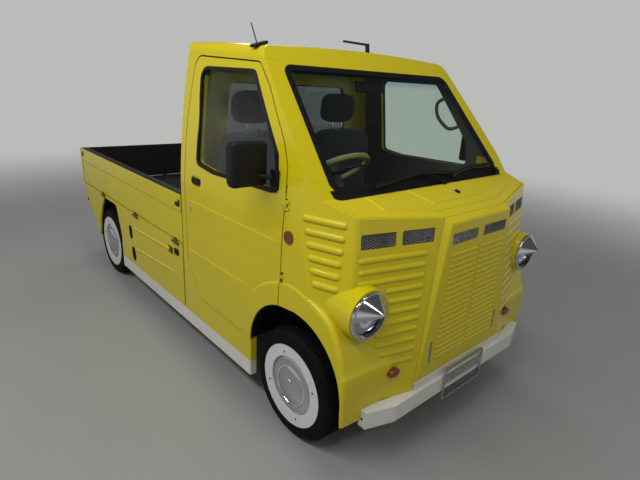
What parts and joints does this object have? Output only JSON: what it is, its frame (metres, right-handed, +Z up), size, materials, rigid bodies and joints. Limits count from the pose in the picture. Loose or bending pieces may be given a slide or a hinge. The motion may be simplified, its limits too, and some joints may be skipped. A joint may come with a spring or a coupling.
{
  "type": "kei truck",
  "caption": "Small cab-over truck with a drop-side flat bed, a sloping ribbed nose, round headlamps, opening doors and gates, steering and rolling wheels.",
  "frame": {"origin": "on the floor under the middle of the bounding box", "axes": "+X to the truck's front, +Y to its left, +Z up"},
  "size_m": [3.395, 1.818, 1.8161],
  "materials": {
    "yellow_paint": "gloss",
    "white_paint": "gloss",
    "black_paint": "satin",
    "black_plastic": "satin",
    "chassis_paint": "matte",
    "bare_metal": "rough",
    "chrome": "polished",
    "clear_glass": "polished",
    "lamp_glass": "polished",
    "lamp_colour": "gloss",
    "tyre_rubber": "matte",
    "wheel_paint": "gloss",
    "seat_cloth": "woven",
    "wheel_rim_plastic": "satin"
  },
  "bodies": {
    "chassis": {"bed_floor": "black_paint", "bed_skirts": "yellow_paint", "cab_floor": "black_plastic", "cab_glass": "clear_glass", "cab_rear_wall": "yellow_paint", "dashboard": "black_plastic", "engine_block": "bare_metal", "exhaust": "bare_metal", "front_bumper": "white_paint", "front_suspension": "chassis_paint", "fuel_tank": "chassis_paint", "grille_panel": "yellow_paint", "hood": "yellow_paint", "ladder_frame": "chassis_paint", "lamp_bezels": "chrome", "lamp_lenses": "lamp_glass", "nose_mesh": "bare_metal", "nose_sides": "yellow_paint", "plate_frame": "chrome", "rear_axle": "chassis_paint", "rear_bumper": "black_paint", "roof": "yellow_paint", "roof_aerials": "black_plastic", "screen_trim": "black_plastic", "seats": "seat_cloth", "side_frames": "yellow_paint", "signal_lamps": "lamp_colour", "sill_strips": "white_paint"},
    "door_right": {"door_right": "yellow_paint", "door_glass_right": "clear_glass", "door_fittings_right": "black_plastic"},
    "gate_right": {"gate_right": "yellow_paint"},
    "knuckle_right": {"knuckle_right": "bare_metal"},
    "wheel_front_right": {"tyre_front_right": "tyre_rubber", "rim_front_right": "wheel_paint"},
    "wheel_rear_right": {"tyre_rear_right": "tyre_rubber", "rim_rear_right": "wheel_paint"},
    "door_left": {"door_left": "yellow_paint", "door_glass_left": "clear_glass", "door_fittings_left": "black_plastic"},
    "gate_left": {"gate_left": "yellow_paint"},
    "knuckle_left": {"knuckle_left": "bare_metal"},
    "wheel_front_left": {"tyre_front_left": "tyre_rubber", "rim_front_left": "wheel_paint"},
    "wheel_rear_left": {"tyre_rear_left": "tyre_rubber", "rim_rear_left": "wheel_paint"},
    "tailgate": {"tailgate": "yellow_paint"},
    "steering_wheel": {"steering_wheel": "wheel_rim_plastic"}
  },
  "joints": [
    {"name": "steering", "type": "hinge", "parent": "chassis", "child": "steering_wheel", "pos_m": [1.05, -0.34, 1.19], "axis": [-0.5736, 0, 0.8192], "range_deg": [-540, 540]},
    {"name": "steer_right", "type": "hinge", "parent": "chassis", "child": "knuckle_right", "pos_m": [1.2475, -0.575, 0.268], "axis": [0, 0, 1], "range_deg": [-32, 32]},
    {"name": "roll_front_right", "type": "hinge", "parent": "knuckle_right", "child": "wheel_front_right", "pos_m": [1.2475, -0.645, 0.268], "axis": [0, 1, 0], "continuous": true},
    {"name": "roll_rear_right", "type": "hinge", "parent": "chassis", "child": "wheel_rear_right", "pos_m": [-1.1025, -0.645, 0.268], "axis": [0, 1, 0], "continuous": true},
    {"name": "door_right_hinge", "type": "hinge", "parent": "chassis", "child": "door_right", "pos_m": [1.195, -0.7325, 0.95], "axis": [0, 0, 1], "range_deg": [0, 65]},
    {"name": "gate_right_hinge", "type": "hinge", "parent": "chassis", "child": "gate_right", "pos_m": [-0.699, -0.7465, 0.642], "axis": [1, 0, 0], "range_deg": [0, 175]},
    {"name": "steer_left", "type": "hinge", "parent": "chassis", "child": "knuckle_left", "pos_m": [1.2475, 0.575, 0.268], "axis": [0, 0, 1], "range_deg": [-32, 32]},
    {"name": "roll_front_left", "type": "hinge", "parent": "knuckle_left", "child": "wheel_front_left", "pos_m": [1.2475, 0.645, 0.268], "axis": [0, 1, 0], "continuous": true},
    {"name": "roll_rear_left", "type": "hinge", "parent": "chassis", "child": "wheel_rear_left", "pos_m": [-1.1025, 0.645, 0.268], "axis": [0, 1, 0], "continuous": true},
    {"name": "door_left_hinge", "type": "hinge", "parent": "chassis", "child": "door_left", "pos_m": [1.195, 0.7325, 0.95], "axis": [0, 0, -1], "range_deg": [0, 65]},
    {"name": "gate_left_hinge", "type": "hinge", "parent": "chassis", "child": "gate_left", "pos_m": [-0.699, 0.7465, 0.642], "axis": [-1, 0, 0], "range_deg": [0, 175]},
    {"name": "tailgate_hinge", "type": "hinge", "parent": "chassis", "child": "tailgate", "pos_m": [-1.677, 0, 0.642], "axis": [0, -1, 0], "range_deg": [0, 175]}
  ],
  "couplings": [
    {"joint": "steer_right", "follows": "steering", "ratio": 0.059},
    {"joint": "steer_left", "follows": "steering", "ratio": 0.059}
  ]
}
